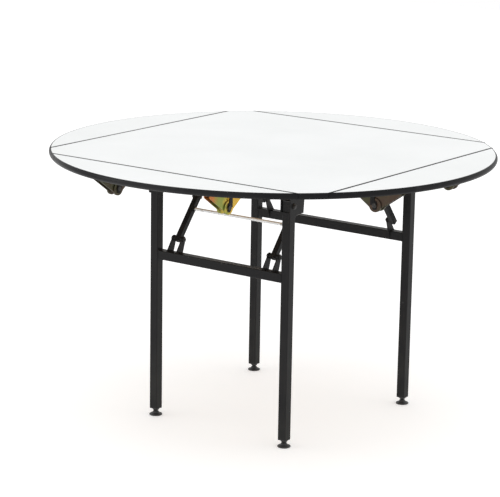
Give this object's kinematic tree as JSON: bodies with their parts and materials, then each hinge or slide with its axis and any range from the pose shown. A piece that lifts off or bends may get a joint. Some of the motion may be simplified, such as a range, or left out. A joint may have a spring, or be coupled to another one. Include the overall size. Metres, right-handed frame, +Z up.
{
  "type": "folding table",
  "caption": "Round folding banquet table: square top with hinged segments that make a circle, on folding tube leg frames with knee braces",
  "frame": {"origin": "on the floor, below the middle of the top", "axes": "+Z up, the narrow leg frame at -Y, the wide one at +Y, +X to the right"},
  "size_m": [1.2198, 1.2198, 0.75],
  "materials": {
    "laminate": "pale textured laminate",
    "core": "raw plywood",
    "edging": "black extruded edging",
    "zinc": "yellow zinc plated pressed steel",
    "black_steel": "black powder coat, fine texture",
    "bright_steel": "bright zinc plated fasteners",
    "black_plastic": "moulded black plastic"
  },
  "bodies": {
    "root": {"main_board": "core", "main_laminate": "laminate", "main_edging": "edging", "fixed_arms": "zinc", "hinge_pins": "bright_steel", "hinge_straps": "black_steel", "front_leg_brackets": "black_steel", "back_leg_brackets": "black_steel", "pivot_bolts": "bright_steel", "brace_brackets": "black_steel", "underside_screws": "bright_steel"},
    "leaf_front": {"leaf_front_board": "core", "leaf_front_laminate": "laminate", "leaf_front_edging": "edging", "leaf_front_arms": "zinc", "leaf_front_screws": "bright_steel"},
    "leaf_right": {"leaf_right_board": "core", "leaf_right_laminate": "laminate", "leaf_right_edging": "edging", "leaf_right_arms": "zinc", "leaf_right_screws": "bright_steel"},
    "leaf_back": {"leaf_back_board": "core", "leaf_back_laminate": "laminate", "leaf_back_edging": "edging", "leaf_back_arms": "zinc", "leaf_back_screws": "bright_steel"},
    "leaf_left": {"leaf_left_board": "core", "leaf_left_laminate": "laminate", "leaf_left_edging": "edging", "leaf_left_arms": "zinc", "leaf_left_screws": "bright_steel"},
    "front_frame": {"front_left_leg": "black_steel", "front_right_leg": "black_steel", "front_rail": "black_steel", "front_tube_plugs": "black_plastic", "front_rail_ears": "black_steel", "front_ear_bolts": "bright_steel"},
    "front_braces": {"front_left_strut": "black_steel", "front_right_strut": "black_steel", "front_cross_rod": "bright_steel", "front_brace_nuts": "bright_steel"},
    "front_link_pair": {"front_links": "black_steel", "front_link_rivets": "bright_steel"},
    "front_left_foot": {"front_left_glide": "black_plastic"},
    "front_right_foot": {"front_right_glide": "black_plastic"},
    "back_frame": {"back_left_leg": "black_steel", "back_right_leg": "black_steel", "back_rail": "black_steel", "back_tube_plugs": "black_plastic", "back_rail_ears": "black_steel", "back_ear_bolts": "bright_steel"},
    "back_braces": {"back_left_strut": "black_steel", "back_right_strut": "black_steel", "back_cross_rod": "bright_steel", "back_brace_nuts": "bright_steel"},
    "back_link_pair": {"back_links": "black_steel", "back_link_rivets": "bright_steel"},
    "back_left_foot": {"back_left_glide": "black_plastic"},
    "back_right_foot": {"back_right_glide": "black_plastic"}
  },
  "joints": [
    {"name": "leaf_front_fold", "type": "hinge", "parent": "root", "child": "leaf_front", "pos_m": [0, -0.457, 0.685], "axis": [1, 0, 0], "range_deg": [0, 180]},
    {"name": "leaf_right_fold", "type": "hinge", "parent": "root", "child": "leaf_right", "pos_m": [0.457, 0, 0.685], "axis": [0, 1, 0], "range_deg": [0, 180]},
    {"name": "leaf_back_fold", "type": "hinge", "parent": "root", "child": "leaf_back", "pos_m": [0, 0.457, 0.685], "axis": [-1, 0, 0], "range_deg": [0, 180]},
    {"name": "leaf_left_fold", "type": "hinge", "parent": "root", "child": "leaf_left", "pos_m": [-0.457, 0, 0.685], "axis": [0, -1, 0], "range_deg": [0, 180]},
    {"name": "back_leg_fold", "type": "hinge", "parent": "root", "child": "back_frame", "pos_m": [0, 0.291, 0.702], "axis": [-1, 0, 0], "range_deg": [0, 90]},
    {"name": "back_strut_fold", "type": "hinge", "parent": "back_frame", "child": "back_braces", "pos_m": [0, 0.2695, 0.533], "axis": [1, 0, 0], "range_deg": [0, 141.9]},
    {"name": "back_link_fold", "type": "hinge", "parent": "root", "child": "back_link_pair", "pos_m": [0, 0.12077, 0.722], "axis": [-1, 0, 0], "range_deg": [0, 129.1]},
    {"name": "front_leg_fold", "type": "hinge", "parent": "root", "child": "front_frame", "pos_m": [0, -0.232, 0.657], "axis": [1, 0, 0], "range_deg": [0, 90]},
    {"name": "front_strut_fold", "type": "hinge", "parent": "front_frame", "child": "front_braces", "pos_m": [0, -0.2105, 0.508], "axis": [-1, 0, 0], "range_deg": [0, 141.9]},
    {"name": "front_link_fold", "type": "hinge", "parent": "root", "child": "front_link_pair", "pos_m": [0, -0.05941, 0.7], "axis": [1, 0, 0], "range_deg": [0, 117.3]},
    {"name": "front_left_glide_turn", "type": "hinge", "parent": "front_frame", "child": "front_left_foot", "pos_m": [-0.219, -0.232, 0], "axis": [0, 0, 1], "continuous": true},
    {"name": "front_right_glide_turn", "type": "hinge", "parent": "front_frame", "child": "front_right_foot", "pos_m": [0.219, -0.232, 0], "axis": [0, 0, 1], "continuous": true},
    {"name": "back_left_glide_turn", "type": "hinge", "parent": "back_frame", "child": "back_left_foot", "pos_m": [-0.262, 0.291, 0], "axis": [0, 0, 1], "continuous": true},
    {"name": "back_right_glide_turn", "type": "hinge", "parent": "back_frame", "child": "back_right_foot", "pos_m": [0.262, 0.291, 0], "axis": [0, 0, 1], "continuous": true}
  ],
  "couplings": [
    {"joint": "back_strut_fold", "follows": "back_leg_fold", "ratio": 1.5756},
    {"joint": "back_link_fold", "follows": "back_leg_fold", "ratio": 1.4324},
    {"joint": "front_leg_fold", "follows": "back_leg_fold", "ratio": 1},
    {"joint": "front_strut_fold", "follows": "back_leg_fold", "ratio": 1.5756},
    {"joint": "front_link_fold", "follows": "back_leg_fold", "ratio": 1.3008}
  ]
}
